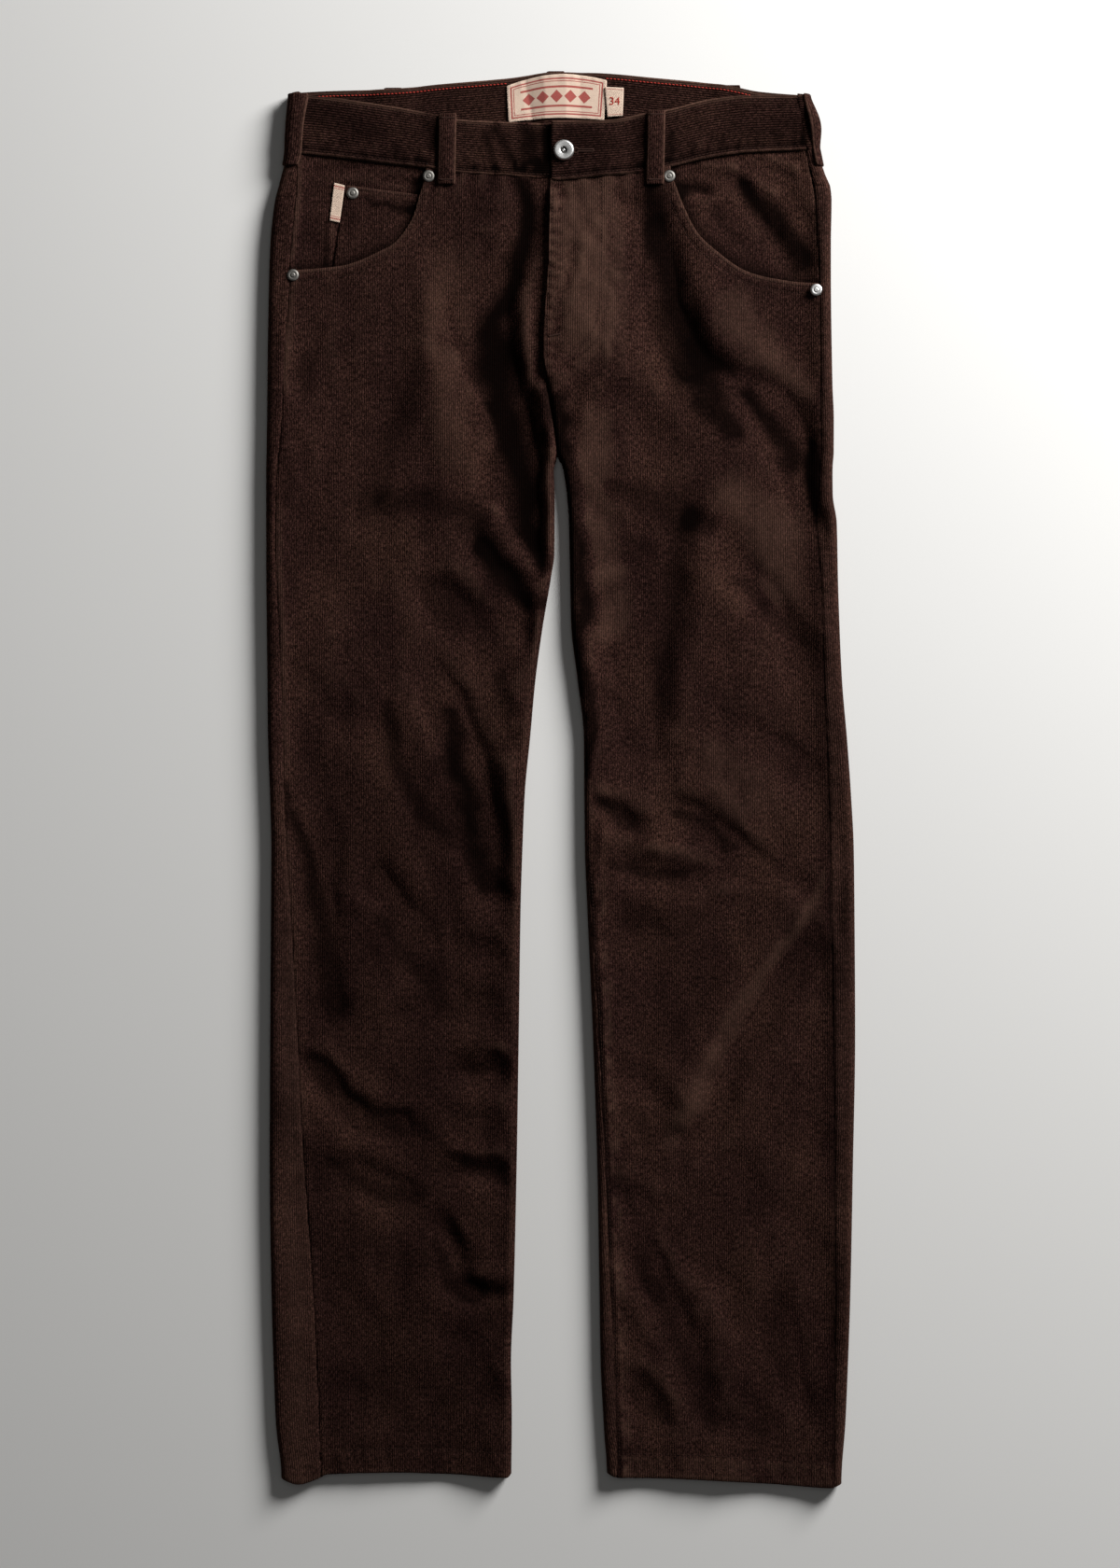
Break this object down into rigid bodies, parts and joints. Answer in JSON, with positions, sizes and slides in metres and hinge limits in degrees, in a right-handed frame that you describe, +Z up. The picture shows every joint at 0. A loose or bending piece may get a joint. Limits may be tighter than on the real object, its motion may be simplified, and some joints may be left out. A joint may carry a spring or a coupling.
{
  "type": "corduroy trousers laid flat",
  "caption": "Straight-leg fine-wale corduroy trousers with scoop pockets and a button fly, laid flat on their back.",
  "frame": {"origin": "middle of the bounding box, on the surface that the trousers lie on", "axes": "+Z up from the surface, +Y from the hems to the waist, +X to the right of someone who looks down at the front with the waist at the top"},
  "size_m": [0.4988, 1.1984, 0.0169],
  "materials": {
    "corduroy": "dark brown fine-wale corduroy",
    "label": "cream woven label",
    "button_metal": "bright nickel",
    "rivet_metal": "dull nickel"
  },
  "bodies": {
    "root": {"front_left": "corduroy", "front_right": "corduroy", "back_left": "corduroy", "back_right": "corduroy", "yoke_left": "corduroy", "yoke_right": "corduroy", "pocket_bearer_left": "corduroy", "pocket_bearer_right": "corduroy", "coin_pocket": "corduroy", "waistband_front_left": "corduroy", "waistband_front_right": "corduroy", "waistband_back": "corduroy", "belt_loop_side_left": "corduroy", "belt_loop_side_right": "corduroy", "belt_loop_front_left": "corduroy", "belt_loop_front_right": "corduroy", "belt_loop_back_left": "corduroy", "belt_loop_back_centre": "corduroy", "belt_loop_back_right": "corduroy", "side_tab": "label", "main_label": "label", "size_tag": "label", "button": "button_metal", "rivet_1": "rivet_metal", "rivet_2": "rivet_metal", "rivet_3": "rivet_metal", "rivet_4": "rivet_metal", "rivet_5": "rivet_metal"}
  },
  "joints": []
}
